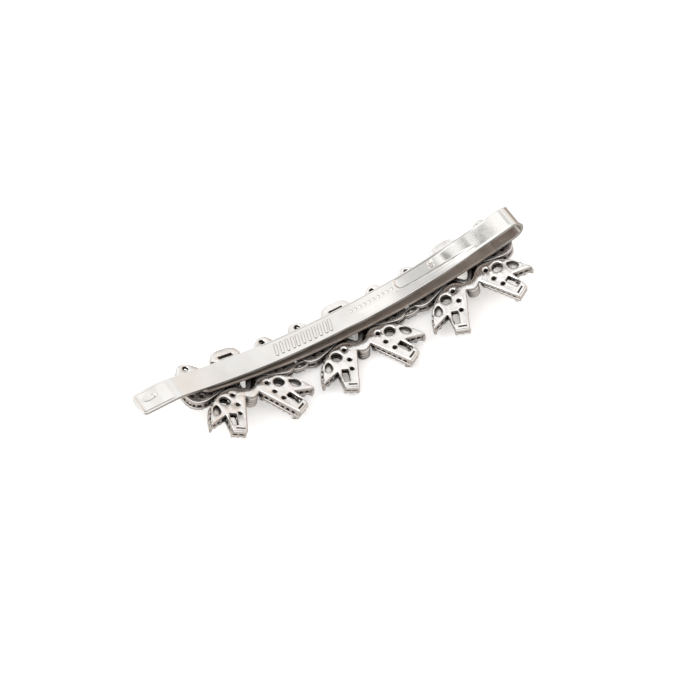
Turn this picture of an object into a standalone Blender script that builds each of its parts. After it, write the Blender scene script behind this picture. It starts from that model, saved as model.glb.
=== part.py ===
"""Rhinestone hair clip: three rhinestone bows soldered to an arched hairpin spring.

The clip lies face down on the flat tables of the middle bow's stones. +X runs along the
clip to the bend of the spring, -X to its thumb tab, +Z up to the free leaf. The origin is
the middle of the table of the middle bow's centre stone. All lengths are metres.
"""
import math

import bmesh
import bpy
from mathutils import Matrix, Vector

MM = 0.001

# Arch and bows
ARCH_RADIUS = 132.9 * MM        # the whole clip is bent to follow the head
BOW_PITCH = 25.9 * MM           # between bow centres, along the arch
BOW_COUNT = 3
CASTING_DEPTH = 1.7 * MM        # back plane of a bow to the front of its metal
STONE_DEPTH = 1.4 * MM          # what a stone stands out of, girdle and crown
GAP = 0.3 * MM                  # between pieces that are soldered or set together
BRIDGE_DEPTH = 0.9 * MM         # web that joins the two tails of a bow
REST_DEPTH = CASTING_DEPTH + GAP + STONE_DEPTH

# Spring strip
STRIP_THICKNESS = 0.7 * MM
LEAF_WIDTH = 5.0 * MM
TAB_WIDTH = 5.4 * MM
LEAF_CENTRE_Y = 5.35 * MM       # from the line through the bows' big tail holes
TAB_LENGTH = 8.6 * MM           # from the pinch to the end of the thumb tab
TAB_DROP = 2.93 * MM            # how far the tab turns away from the arch
TAB_ROUND = 1.6 * MM            # depth of the tab's blunt round end
PINCH_S = -40.5 * MM            # where the free leaf comes nearest to the front leaf
PINCH_GAP = 0.15 * MM           # free leaf above the front leaf's level there
BEND_S = 38.85 * MM             # centre of the U-bend along the arch
BEND_INNER = 3.7 * MM           # clear height inside the bend
FRONT_LEAF_END_S = -36.0 * MM
LEAF_RISE_POWER = 1.3           # shape of the free leaf between pinch and bend
STATION = 2.6 * MM              # facet length along the strip

# Centre of a bow: knot, bridge, pear stone and top petal
CENTRE_STONE_Y = 5.0 * MM
CENTRE_STONE_SIZE = (4.6 * MM, 6.6 * MM)
WEB_HALF = 1.45 * MM
KNOT_LOW_Y = -1.3 * MM
KNOT_HIGH_Y = 0.9 * MM
TOP_SLOT = (0.0, 10.4 * MM, 3.4 * MM, 0.9 * MM)

# Tails: where their holes are, from the bow's centre, for the tail at +X
TAIL_ROUND = (6.24 * MM, 0.0)
TAIL_PEAR = (9.0 * MM, -1.5 * MM)
TAIL_SLOT = (6.9 * MM, -4.75 * MM)
TAIL_SMALL_HOLES = ((4.0 * MM, 0.8 * MM), (4.26 * MM, -1.76 * MM), (5.16 * MM, -3.96 * MM))
TAIL_SLOT_TURN = math.radians(24)
TAIL_PEAR_TURN = math.radians(33)
BIG_HOLE = 2.2 * MM
SMALL_HOLE = 1.0 * MM

# Loops: holes along the lower band, and one in the top petal
LOOP_HOLES = ((5.6 * MM, 3.75 * MM), (7.5 * MM, 3.35 * MM), (9.5 * MM, 3.3 * MM), (11.2 * MM, 4.1 * MM))
PETAL_HOLE = (8.9 * MM, 10.9 * MM)

# Stones
ROUND_STONE = 2.9 * MM
PETAL_STONE = 2.0 * MM
TAIL_PEAR_STONE = (2.1 * MM, 3.1 * MM)
TAIL_BAGUETTE = (1.7 * MM, 4.0 * MM)
KNOT_BAGUETTE = (2.4 * MM, 1.5 * MM)
TOP_BAGUETTE = (4.2 * MM, 1.7 * MM)
TABLE_SHARE = 0.6               # table of a stone against its girdle
LINK_SIZE = (3.6 * MM, 1.5 * MM)
LINK_Y = 2.7 * MM

# Outlines in millimetres from the bow's centre, for the side at +X; "c" is a corner
TAIL_OUTLINE = (
    (1.75, -0.3, "c"), (1.75, 1.5, "c"), (2.45, 2.5, "c"), (3.4, 2.72, "s"), (5.0, 2.4, "s"),
    (6.9, 1.72, "s"), (8.9, 0.25, "s"), (10.5, -1.9, "s"), (11.9, -4.5, "c"),
    (7.9, -3.3, "c"), (8.6, -7.3, "c"), (6.0, -8.6, "c"),
)
LOOP_OUTLINE = (
    (3.5, 4.0, "c"), (5.3, 2.85, "s"), (7.6, 2.1, "s"), (9.8, 1.75, "s"), (11.6, 2.5, "s"),
    (12.5, 4.6, "s"), (12.4, 7.4, "s"), (11.4, 10.2, "s"), (10.3, 12.0, "c"), (8.7, 12.1, "s"),
    (7.0, 10.8, "s"), (5.2, 8.6, "s"), (3.5, 7.0, "c"),
)
LOOP_OPENING = ((5.2, 5.7, "s"), (8.2, 5.0, "s"), (10.4, 5.9, "s"), (10.0, 8.6, "s"), (8.3, 8.9, "s"))
CENTRE_HALF = (
    (1.45, -0.3, "c"), (1.45, 1.5, "c"), (2.1, 2.7, "s"), (2.9, 4.1, "s"), (3.15, 5.6, "s"),
    (2.7, 7.3, "s"), (1.7, 8.8, "c"), (3.4, 10.3, "c"), (2.5, 11.8, "s"),
)
CENTRE_TOP = (0.0, 12.3, "s")


# ---------------------------------------------------------------- modelling helpers
def new_material(name, colour, metallic, roughness, ior=1.5):
    """Principled material in linear colour."""
    material = bpy.data.materials.new(name)
    material.use_nodes = True
    shader = material.node_tree.nodes["Principled BSDF"]
    shader.inputs["Base Color"].default_value = (*colour, 1.0)
    shader.inputs["Metallic"].default_value = metallic
    shader.inputs["Roughness"].default_value = roughness
    shader.inputs["IOR"].default_value = ior
    material.diffuse_color = (*colour, 1.0)
    return material


def baked(obj):
    """Replace an object by a plain world-space mesh of what its curve or modifiers make."""
    graph = bpy.context.evaluated_depsgraph_get()
    mesh = bpy.data.meshes.new_from_object(obj.evaluated_get(graph))
    mesh.transform(obj.matrix_world)
    work = bmesh.new()
    work.from_mesh(mesh)
    bmesh.ops.remove_doubles(work, verts=work.verts, dist=0.001 * MM)
    work.to_mesh(mesh)
    work.free()
    plain = bpy.data.objects.new(obj.name, mesh)
    bpy.data.objects.remove(obj)
    scratch.objects.link(plain)
    return plain


def outline_solid(name, knots, low, high, unit=MM, steps=3, turn=None):
    """A flat outline with corner and smooth knots, filled between two heights."""
    curve = bpy.data.curves.new(name, "CURVE")
    curve.dimensions = "2D"
    curve.fill_mode = "BOTH"
    curve.extrude = (high - low) / 2
    curve.resolution_u = steps
    spline = curve.splines.new("BEZIER")
    spline.bezier_points.add(len(knots) - 1)
    spline.use_cyclic_u = True
    for point, (x, y, kind) in zip(spline.bezier_points, knots):
        point.co = (x * unit, y * unit, 0.0)
        point.handle_left_type = "VECTOR" if kind == "c" else "AUTO"
        point.handle_right_type = point.handle_left_type
    obj = bpy.data.objects.new(name, curve)
    scratch.objects.link(obj)
    obj.matrix_world = (turn or Matrix()) @ Matrix.Translation((0, 0, (low + high) / 2))
    bpy.context.view_layer.update()
    return baked(obj)


def combine(target, tool, operation):
    """Exact Boolean of two solids; the tool is used up."""
    step = target.modifiers.new(operation.title(), "BOOLEAN")
    step.operation = operation
    step.solver = "EXACT"
    step.object = tool
    bpy.context.view_layer.update()
    result = baked(target)
    bpy.data.objects.remove(tool)
    return result


def drilled(target, x, y, diameter, sides=10):
    """Through hole along the bow's depth."""
    bpy.ops.mesh.primitive_cylinder_add(
        vertices=sides, radius=diameter / 2, depth=CASTING_DEPTH * 3,
        location=(x, y, -CASTING_DEPTH / 2))
    return combine(target, bpy.context.object, "DIFFERENCE")


def slotted(target, knots, centre, turn):
    """Through opening of a given outline, turned and placed."""
    place = Matrix.Translation((*centre, 0)) @ Matrix.Rotation(turn, 4, "Z")
    tool = outline_solid("opening", knots, -2 * CASTING_DEPTH, CASTING_DEPTH, unit=1.0, turn=place)
    return combine(target, tool, "DIFFERENCE")


def box_knots(width, height, clip=0.0):
    """Rectangle about the origin, with clipped corners if wanted."""
    x, y = width / 2, height / 2
    if clip == 0:
        return [(-x, -y, "c"), (x, -y, "c"), (x, y, "c"), (-x, y, "c")]
    return [(-x + clip, -y, "c"), (x - clip, -y, "c"), (x, -y + clip, "c"), (x, y - clip, "c"),
            (x - clip, y, "c"), (-x + clip, y, "c"), (-x, y - clip, "c"), (-x, -y + clip, "c")]


def round_knots(diameter, sides=12):
    """Regular outline of a round stone."""
    turns = [2 * math.pi * k / sides for k in range(sides)]
    return [(diameter / 2 * math.cos(t), diameter / 2 * math.sin(t), "c") for t in turns]


def pear_knots(width, height, sides=14):
    """Pear outline with its point at -Y."""
    knots = []
    for k in range(sides):
        t = 2 * math.pi * k / sides
        narrow = 0.5 + 0.5 * math.cos(t)
        knots.append((width / 2 * math.sin(t) * (1.13 - 0.62 * narrow ** 2), -height / 2 * math.cos(t), "c"))
    return knots


def stone(name, knots, centre=(0.0, 0.0), turn=0.0):
    """A cut stone: flat back, girdle, crown and table, with the table at the rest level."""
    levels = ((-CASTING_DEPTH - GAP, 0.62), (-CASTING_DEPTH - GAP - 0.62 * STONE_DEPTH, 1.0),
              (-CASTING_DEPTH - GAP - 0.7 * STONE_DEPTH, 1.0), (-REST_DEPTH, TABLE_SHARE))
    work = bmesh.new()
    low, share = levels[0]
    ring = [work.verts.new((x * share, y * share, low)) for x, y, _ in knots]
    back = face = work.faces.new(ring)
    last = share
    for level, share in levels[1:]:
        grown = bmesh.ops.extrude_face_region(work, geom=[face])
        if face is not back:
            work.faces.remove(face)
        face = next(item for item in grown["geom"] if isinstance(item, bmesh.types.BMFace))
        for vert in face.verts:
            vert.co = (vert.co.x * share / last, vert.co.y * share / last, level)
        last = share
    bmesh.ops.recalc_face_normals(work, faces=work.faces)
    mesh = bpy.data.meshes.new(name)
    work.to_mesh(mesh)
    work.free()
    mesh.transform(Matrix.Translation((*centre, 0)) @ Matrix.Rotation(turn, 4, "Z"))
    return mesh


def mirrored(knots, side):
    """Outline of the side at -X or +X, always in the same turning sense."""
    flipped = [(x * side, y, kind) for x, y, kind in knots]
    return flipped if side > 0 else flipped[::-1]


# ---------------------------------------------------------------- pieces of one bow
def tail_mesh(side):
    """One forked ribbon tail, pierced behind each of its stones."""
    solid = outline_solid("tail", mirrored(TAIL_OUTLINE, side), -CASTING_DEPTH, 0.0)
    solid = drilled(solid, side * TAIL_ROUND[0], TAIL_ROUND[1], BIG_HOLE, 16)
    for x, y in TAIL_SMALL_HOLES:
        solid = drilled(solid, side * x, y, SMALL_HOLE, 8)
    pear = pear_knots(TAIL_PEAR_STONE[0] * 0.75, TAIL_PEAR_STONE[1] * 0.75, 10)
    solid = slotted(solid, pear, (side * TAIL_PEAR[0], TAIL_PEAR[1]), math.pi + side * TAIL_PEAR_TURN)
    slot = box_knots(TAIL_BAGUETTE[0] * 0.7, TAIL_BAGUETTE[1] * 0.8)
    solid = slotted(solid, slot, (side * TAIL_SLOT[0], TAIL_SLOT[1]), side * TAIL_SLOT_TURN)
    return solid.data


def loop_mesh(side):
    """One open ribbon loop with its top petal."""
    solid = outline_solid("loop", mirrored(LOOP_OUTLINE, side), -CASTING_DEPTH, 0.0)
    tool = outline_solid("eye", mirrored(LOOP_OPENING, side), -2 * CASTING_DEPTH, CASTING_DEPTH)
    solid = combine(solid, tool, "DIFFERENCE")
    for x, y in (*LOOP_HOLES, PETAL_HOLE):
        solid = drilled(solid, side * x, y, SMALL_HOLE, 8)
    return solid.data


def centre_mesh():
    """Bridge, knot block, pear setting and top petal of a bow."""
    left = [(-x, y, kind) for x, y, kind in CENTRE_HALF]
    outline = [*CENTRE_HALF, CENTRE_TOP, *left[::-1]]
    solid = outline_solid("centre", outline, -CASTING_DEPTH, 0.0)
    knot = outline_solid(
        "knot",
        box_knots(2 * WEB_HALF, KNOT_HIGH_Y - KNOT_LOW_Y),
        -CASTING_DEPTH, -BRIDGE_DEPTH, unit=1.0,
        turn=Matrix.Translation((0, (KNOT_HIGH_Y + KNOT_LOW_Y) / 2, 0)))
    solid = combine(solid, knot, "UNION")
    pear = pear_knots(CENTRE_STONE_SIZE[0] * 0.88, CENTRE_STONE_SIZE[1] * 1.12, 16)
    solid = slotted(solid, pear, (0.0, CENTRE_STONE_Y - 0.3 * MM), 0.0)
    slot = box_knots(TOP_SLOT[2], TOP_SLOT[3])
    solid = slotted(solid, slot, TOP_SLOT[:2], 0.0)
    return solid.data


def bow_meshes():
    """Name, mesh and material of each piece of a bow."""
    pieces = [("centre", centre_mesh(), metal)]
    for side, word in ((-1, "left"), (1, "right")):
        pieces += [
            ("tail_" + word, tail_mesh(side), metal),
            ("loop_" + word, loop_mesh(side), metal),
            ("round_stone_" + word,
             stone("round", round_knots(ROUND_STONE), (side * TAIL_ROUND[0], TAIL_ROUND[1])), crystal),
            ("petal_stone_" + word,
             stone("petal", round_knots(PETAL_STONE, 10), (side * PETAL_HOLE[0], PETAL_HOLE[1])), crystal),
            ("pear_stone_" + word,
             stone("pear", pear_knots(*TAIL_PEAR_STONE), (side * TAIL_PEAR[0], TAIL_PEAR[1]),
                   math.pi + side * TAIL_PEAR_TURN), crystal),
            ("baguette_" + word,
             stone("baguette", box_knots(*TAIL_BAGUETTE, 0.3 * MM), (side * TAIL_SLOT[0], TAIL_SLOT[1]),
                   side * TAIL_SLOT_TURN), crystal),
        ]
    knot_y = (KNOT_LOW_Y + KNOT_HIGH_Y) / 2
    pieces += [
        ("centre_stone", stone("centre", pear_knots(*CENTRE_STONE_SIZE, 18), (0.0, CENTRE_STONE_Y)), crystal),
        ("knot_baguette", stone("knot", box_knots(*KNOT_BAGUETTE, 0.3 * MM), (0.0, knot_y)), crystal),
        ("top_baguette", stone("top", box_knots(*TOP_BAGUETTE, 0.3 * MM), TOP_SLOT[:2]), crystal),
    ]
    return pieces


def arch_frame(s):
    """Place and tilt of a piece that sits flat on the arch at length s."""
    turn = s / ARCH_RADIUS
    foot = Vector((ARCH_RADIUS * math.sin(turn), -CENTRE_STONE_Y,
                   REST_DEPTH + ARCH_RADIUS * (1 - math.cos(turn))))
    return Matrix.Translation(foot) @ Matrix.Rotation(-turn, 4, "Y")


# ---------------------------------------------------------------- the spring strip
def on_arch(s, height):
    """World X and Z of a point above the bows' back plane, at length s on the arch."""
    turn = s / ARCH_RADIUS
    radius = ARCH_RADIUS - height
    return Vector((radius * math.sin(turn), REST_DEPTH + ARCH_RADIUS - radius * math.cos(turn)))


BEND_LOW = GAP                                          # the front leaf lies on the castings
BEND_TOP = BEND_LOW + BEND_INNER + 2 * STRIP_THICKNESS
PINCH_HEIGHT = BEND_LOW + PINCH_GAP + 2 * STRIP_THICKNESS
BEND_RADIUS = (BEND_TOP - BEND_LOW - STRIP_THICKNESS) / 2
BEND_HEIGHT = (BEND_TOP + BEND_LOW) / 2
SPLIT_TURN = GAP / 2 / BEND_RADIUS                      # half of the gap at the hinge


def leaf_top(s):
    """Height of the free leaf's outer face."""
    if s < PINCH_S:
        return PINCH_HEIGHT - TAB_DROP * ((PINCH_S - s) / TAB_LENGTH) ** 1.3
    rise = (BEND_S - s) / (BEND_S - PINCH_S)
    return BEND_TOP - (BEND_TOP - PINCH_HEIGHT) * rise ** LEAF_RISE_POWER


def stations(start, end):
    """Evenly spaced lengths from start to end, ends included."""
    count = math.ceil(abs(end - start) / STATION)
    return [start + (end - start) * k / count for k in range(count + 1)]


def bend_arc(first, last, count=6):
    """Mid-line of the bend between two turns, measured from the arch direction."""
    turns = [first + (last - first) * k / count for k in range(count + 1)]
    return [on_arch(BEND_S + BEND_RADIUS * math.cos(t), BEND_HEIGHT + BEND_RADIUS * math.sin(t))
            for t in turns]


def ribbon_knots(line):
    """Closed outline of a strip of constant thickness about its mid-line."""
    left, right = [], []
    for k, point in enumerate(line):
        along = (line[min(k + 1, len(line) - 1)] - line[max(k - 1, 0)]).normalized()
        across = Vector((-along.y, along.x)) * STRIP_THICKNESS / 2
        left.append(point + across)
        right.append(point - across)
    return [(p.x, p.y, "c") for p in left + right[::-1]]


def leaf_solid(name, line, end_x, end_width, end_round, power):
    """Strip bent along its mid-line, with a rounded end of its own width at end_x."""
    place = Matrix.Translation((0, LEAF_CENTRE_Y - CENTRE_STONE_Y, 0))
    upright = place @ Matrix.Rotation(math.pi / 2, 4, "X")
    strip = outline_solid(name, ribbon_knots(line), -TAB_WIDTH, TAB_WIDTH, unit=1.0, turn=upright)
    turns = [math.sin(math.pi / 2 - math.pi * k / 12) for k in range(13)]
    end = [(end_x + end_round * (1 - math.sqrt(1 - abs(t) ** power)), end_width / 2 * t, "c") for t in turns]
    neck = end_x + 12 * MM
    far = BEND_S + 10 * MM
    half = LEAF_WIDTH / 2
    plan = [(far, half, "c"), (neck, half, "c"), *end, (neck, -half, "c"), (far, -half, "c")]
    tool = outline_solid("plan", plan, -20 * MM, 40 * MM, unit=1.0, turn=place)
    return combine(strip, tool, "INTERSECT")


def back_leaf_solid():
    """Free leaf: thumb tab, long arm and the upper half of the bend."""
    tab_end = PINCH_S - TAB_LENGTH
    lengths = stations(tab_end, PINCH_S) + stations(PINCH_S, BEND_S)[1:-1]
    line = [on_arch(s, leaf_top(s) - STRIP_THICKNESS / 2) for s in lengths]
    line += bend_arc(math.pi / 2, SPLIT_TURN)
    return leaf_solid("back_leaf", line, line[0].x, TAB_WIDTH, TAB_ROUND, 3.2)


def front_leaf_solid():
    """Fixed leaf that carries the bows, with the lower half of the bend."""
    line = bend_arc(-SPLIT_TURN, -math.pi / 2)
    line += [on_arch(s, BEND_LOW + STRIP_THICKNESS / 2) for s in stations(BEND_S, FRONT_LEAF_END_S)[1:]]
    return leaf_solid("front_leaf", line, line[-1].x, LEAF_WIDTH, LEAF_WIDTH / 2, 2)


# ---------------------------------------------------------------- assembly
def place(name, mesh, material, matrix):
    """Put one named piece in the clip's collection."""
    mesh.materials.clear()
    mesh.materials.append(material)
    obj = bpy.data.objects.new(name, mesh)
    obj.matrix_world = matrix
    clip.objects.link(obj)
    return obj


def build():
    """All pieces of the clip."""
    middle = (BOW_COUNT - 1) / 2
    for word, mesh, material in bow_meshes():
        for k in range(BOW_COUNT):
            place("bow_%d_%s" % (k + 1, word), mesh, material, arch_frame((k - middle) * BOW_PITCH))
    link = stone("link", round_knots(1.0, 12))
    link.transform(Matrix.Diagonal((*LINK_SIZE, 1, 1)))
    link.transform(Matrix.Translation((0, LINK_Y, 0)))
    for k in range(BOW_COUNT - 1):
        place("link_%d" % (k + 1), link, metal, arch_frame((k - middle + 0.5) * BOW_PITCH))
    place("front_leaf", front_leaf_solid().data, steel, Matrix())
    hinge = on_arch(BEND_S + BEND_RADIUS, BEND_HEIGHT)
    axis = Vector((hinge.x, LEAF_CENTRE_Y - CENTRE_STONE_Y, hinge.y))
    back = back_leaf_solid().data
    back.transform(Matrix.Translation(-axis))
    place("back_leaf", back, steel, Matrix.Translation(axis))


for old in list(bpy.data.objects):
    bpy.data.objects.remove(old)
clip = bpy.data.collections.new("rhinestone_hair_clip")
scratch = bpy.data.collections.new("scratch")
bpy.context.scene.collection.children.link(clip)
bpy.context.scene.collection.children.link(scratch)
metal = new_material("rhodium_plated_casting", (0.72, 0.71, 0.70), 1.0, 0.18)
steel = new_material("polished_spring_steel", (0.74, 0.73, 0.72), 1.0, 0.14)
crystal = new_material("cut_crystal", (0.93, 0.95, 0.97), 0.0, 0.03, 1.55)
build()
for left_over in list(scratch.objects):
    bpy.data.objects.remove(left_over)
bpy.data.collections.remove(scratch)
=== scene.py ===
import math

import bpy
from mathutils import Matrix, Vector
from mathutils.geometry import interpolate_bezier


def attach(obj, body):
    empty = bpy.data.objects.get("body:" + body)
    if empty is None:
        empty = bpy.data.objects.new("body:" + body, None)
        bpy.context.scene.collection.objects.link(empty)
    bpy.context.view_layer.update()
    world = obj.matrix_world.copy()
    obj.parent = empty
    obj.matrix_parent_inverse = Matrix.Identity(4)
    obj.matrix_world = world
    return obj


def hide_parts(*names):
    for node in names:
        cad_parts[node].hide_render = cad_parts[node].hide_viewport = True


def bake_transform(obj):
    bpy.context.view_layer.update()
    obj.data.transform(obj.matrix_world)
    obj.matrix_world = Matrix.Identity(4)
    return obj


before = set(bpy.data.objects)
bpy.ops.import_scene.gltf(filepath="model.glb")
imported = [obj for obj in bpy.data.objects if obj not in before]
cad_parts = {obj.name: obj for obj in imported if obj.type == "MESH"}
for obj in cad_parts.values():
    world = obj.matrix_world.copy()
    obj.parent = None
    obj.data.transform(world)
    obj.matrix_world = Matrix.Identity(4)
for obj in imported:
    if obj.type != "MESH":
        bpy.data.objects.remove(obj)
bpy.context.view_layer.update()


# ---------------------------------------------------------------- camera, table and studio
# The clip lies stones down on a white sweep of paper in a light tent. The tent is bright
# overhead and greyer towards its sides, with a warm wooden room beyond its open side.
MM = 0.001
camera_data = bpy.data.cameras.new("camera")
camera_data.lens, camera_data.sensor_width = 154.2, 36.0
camera_data.clip_start, camera_data.clip_end = 0.05, 10.0
camera = bpy.data.objects.new("camera", camera_data)
bpy.context.scene.collection.objects.link(camera)
camera.rotation_mode = "QUATERNION"
camera.location = (-0.19078, -0.30987, 0.48321)
camera.rotation_quaternion = Vector((0.3137, 0.5095, -0.8013)).to_track_quat("-Z", "Y")
bpy.context.scene.camera = camera
bpy.context.scene.view_settings.view_transform = "Standard"


def hue(code):
    """Linear colour of an sRGB hex value."""
    parts = [int(code[k:k + 2], 16) / 255 for k in (1, 3, 5)]
    return (*[p / 12.92 if p <= 0.04045 else ((p + 0.055) / 1.055) ** 2.4 for p in parts], 1.0)


def add(tree, kind, inputs=None, stops=None, **settings):
    """A shader node with its settings, its socket values or links, and its ramp's stops."""
    made = tree.nodes.new("ShaderNode" + kind)
    for name, value in settings.items():
        setattr(made, name, value)
    for socket, value in (inputs or {}).items():
        if isinstance(value, bpy.types.NodeSocket):
            tree.links.new(value, made.inputs[socket])
        else:
            made.inputs[socket].default_value = value
    for k, (place, colour) in enumerate(stops or ()):
        ramp = made.color_ramp.elements
        stop = ramp[k] if k < 2 else ramp.new(place)
        stop.position, stop.color = place, colour
    return made


def grey(value):
    """Linear neutral of a given strength."""
    return (value, value, value, 1.0)


world = bpy.data.worlds.new("light_tent")
bpy.context.scene.world = world
world.use_nodes = True
tree = world.node_tree
tree.nodes.clear()
way = add(tree, "TexCoord").outputs["Generated"]
height = add(tree, "SeparateXYZ", {0: way}).outputs["Z"]
side = add(tree, "SeparateXYZ", {0: way}).outputs["X"]
side = add(tree, "MapRange", {0: side, 1: -0.25, 2: 0.75}).outputs[0]
# The tent's side wall, panel by panel from its left end to the warm room at its right.
panels = add(tree, "ValToRGB", {0: side}, stops=[
    (0.0, grey(1.15)), (1.0, (0.98, 0.87, 0.79, 1.0)), (0.08, grey(1.15)), (0.12, grey(1.24)),
    (0.183, grey(1.3)), (0.22, grey(0.98)), (0.25, grey(0.72)), (0.30, grey(0.66)),
    (0.34, grey(0.76)), (0.38, grey(1.08)), (0.44, grey(1.12)), (0.485, grey(0.98)), (0.65, grey(1.04)),
    (0.72, grey(0.96)), (0.77, grey(0.92)), (0.83, (0.96, 0.92, 0.885, 1.0)),
    (0.92, (0.98, 0.885, 0.81, 1.0))]).outputs["Color"]
# How much of that comes from below (under one half), the table's level and overhead.
rise = add(tree, "ValToRGB", {0: height}, stops=[
    (0.0, grey(0.60)), (1.0, grey(1.08)), (0.25, grey(0.42)), (0.42, grey(0.50)), (0.50, grey(0.74)),
    (0.56, grey(1.0)), (0.88, grey(1.0))]).outputs["Color"]
tent = add(tree, "Mix", {0: 1.0, 6: panels, 7: rise}, data_type="RGBA", blend_type="MULTIPLY").outputs[2]
# The dark gap in the tent that the lens looks through, seen in whatever mirrors it.
LENS_RIM, LENS_CORE = 0.99968, 0.99988
lens_way = Vector((-0.093, 0.507, 0.857)).normalized()
lens = add(tree, "VectorMath", {0: way, 1: lens_way}, operation="DOT_PRODUCT").outputs["Value"]
lens = add(tree, "MapRange", {0: lens, 1: LENS_RIM, 2: LENS_CORE},
           interpolation_type="SMOOTHSTEP").outputs[0]
tent = add(tree, "Mix", {0: lens, 6: tent, 7: hue("#66675f")}, data_type="RGBA").outputs[2]
sky = add(tree, "Background", {"Color": tent, "Strength": 1.08})
tree.links.new(sky.outputs[0], add(tree, "OutputWorld").inputs["Surface"])

bpy.ops.object.select_all(action="DESELECT")
bpy.ops.mesh.primitive_plane_add(size=3.0, location=(0, 0, -0.02 * MM))
floor = bpy.context.object
floor.name = "paper_floor"
PAPER_GLOW = 0.37
paper = bpy.data.materials.new("matt_white_paper")
# Uncoated white paper: no gloss, and close to pure white, as the tent lights it through the sheet
# as well as from above. The light through the sheet is the emission.
paper.use_nodes = True
tree = paper.node_tree
shader = tree.nodes["Principled BSDF"]
shader.inputs["Base Color"].default_value = hue("#f9f8f7")
shader.inputs["Roughness"].default_value = 0.9
shader.inputs["Emission Color"].default_value = hue("#fffdfb")
shader.inputs["Emission Strength"].default_value = PAPER_GLOW
floor.data.materials.append(paper)

lamp_data = bpy.data.lights.new("softbox", "AREA")
lamp_data.shape, lamp_data.size, lamp_data.size_y, lamp_data.energy = "RECTANGLE", 0.6, 0.6, 3.0
lamp = bpy.data.objects.new("softbox", lamp_data)
bpy.context.scene.collection.objects.link(lamp)
lamp.location = (-0.72, 0.12, 0.62)
lamp.rotation_mode = "QUATERNION"
lamp.rotation_quaternion = (-lamp.location).to_track_quat("-Z", "Y")


# ---------------------------------------------------------------- spring strip
# One strip of spring steel, 0.7 mm thick and 5 mm wide, bent back over itself at one end.
# It is stamped, pressed with a shallow flute, polished and nickel plated. The bows are
# soldered to its lower leaf; the upper leaf springs, so it is three pieces meeting at the bend.
ARCH_RADIUS = 132.9 * MM
REST_DEPTH = 3.4 * MM           # from the table up to the plane that the bows' backs lie in
THICK = 0.7 * MM
LEAF_WIDTH = 5.0 * MM
LEAF_Y = 0.35 * MM              # the strip's own middle line, off the clip's
TAB_WIDTH = 5.4 * MM
TAB_ROUND = 1.6 * MM            # how far its corners fall back
TAB_BLUNT = 3.2                 # power of the curve of its tip; 2 would be a half circle
TAB_DROP = 2.93 * MM
TAB_NECK = (4 * MM, 12 * MM)    # where its width runs down to the leaf's
END_REACH = 6 * MM              # how far the shape of an end reaches up the strip

# Stations along the bows' back plane, from the middle bow
TAB_S = -49.1 * MM
PINCH_S = -40.5 * MM
FRONT_END_S = -36.0 * MM
SEAM_S = 34.0 * MM
BEND_S = 38.85 * MM

# Heights over the bows' back plane
BEND_LOW = 0.3 * MM
PINCH_HEIGHT = 1.85 * MM
BEND_TOP = 5.4 * MM
BEND_RADIUS = (BEND_TOP - BEND_LOW - THICK) / 2
BEND_HEIGHT = (BEND_TOP + BEND_LOW) / 2
UPPER_STEPS, BEND_STEPS, LOWER_STEPS = 400, 60, 300
SOFTENING = 12                  # passes that round the fold at the pinch, as the press does


def on_arch(s, rise):
    """World X and Z at length s along the bows' back plane and a height above it."""
    turn = s / ARCH_RADIUS
    radius = ARCH_RADIUS - rise
    return Vector((radius * math.sin(turn), REST_DEPTH + ARCH_RADIUS - radius * math.cos(turn)))


def leaf_top(s):
    """Height of the upper leaf's outer face."""
    if s < PINCH_S:
        return PINCH_HEIGHT - TAB_DROP * ((PINCH_S - s) / (PINCH_S - TAB_S)) ** 1.3
    return BEND_TOP - (BEND_TOP - PINCH_HEIGHT) * (max(BEND_S - s, 0.0) / (BEND_S - PINCH_S)) ** 1.3


upper = [TAB_S + (BEND_S - TAB_S) * k / UPPER_STEPS for k in range(UPPER_STEPS + 1)]
bend = [math.pi / 2 - math.pi * k / BEND_STEPS for k in range(1, BEND_STEPS)]
lower = [BEND_S + (FRONT_END_S - BEND_S) * k / LOWER_STEPS for k in range(LOWER_STEPS + 1)]
rises = [leaf_top(s) - THICK / 2 for s in upper]
for _ in range(SOFTENING):
    rises[1:-1] = [(a + 2 * b + c) / 4 for a, b, c in zip(rises, rises[1:], rises[2:])]
line = [on_arch(s, rise) for s, rise in zip(upper, rises)]
for t in bend:
    line.append(on_arch(BEND_S + BEND_RADIUS * math.cos(t), BEND_HEIGHT + BEND_RADIUS * math.sin(t)))
line += [on_arch(s, BEND_LOW + THICK / 2) for s in lower]
lengths = [0.0]
for a, b in zip(line, line[1:]):
    lengths.append(lengths[-1] + (b - a).length)
total = lengths[-1]
slopes = [(after - before).normalized() for before, after in zip([line[0], *line], [*line[1:], line[-1]])]


def at_length(t):
    """Index and share of the stretch of the middle line that holds length t."""
    low, high = 0, len(lengths) - 1
    while high - low > 1:
        half = (low + high) // 2
        low, high = (half, high) if lengths[half] <= t else (low, half)
    return low, (t - lengths[low]) / (lengths[high] - lengths[low])


def wrapped(t, y, lift):
    """World point of the strip at length t from the tab's tip, across it, and off its middle."""
    k, share = at_length(t)
    spot = line[k].lerp(line[k + 1], share)
    slope = slopes[k].lerp(slopes[k + 1], share).normalized()
    return Vector((spot.x - slope.y * lift, y + LEAF_Y, spot.y + slope.x * lift))


def length_of(s):
    """Length from the tab's tip to a station on the upper leaf."""
    return lengths[round((s - TAB_S) / (BEND_S - TAB_S) * UPPER_STEPS)]


def ease(value, low, high):
    """Smooth step from 0 at low to 1 at high."""
    share = min(max((value - low) / (high - low), 0.0), 1.0)
    return share * share * (3 - 2 * share)


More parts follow.
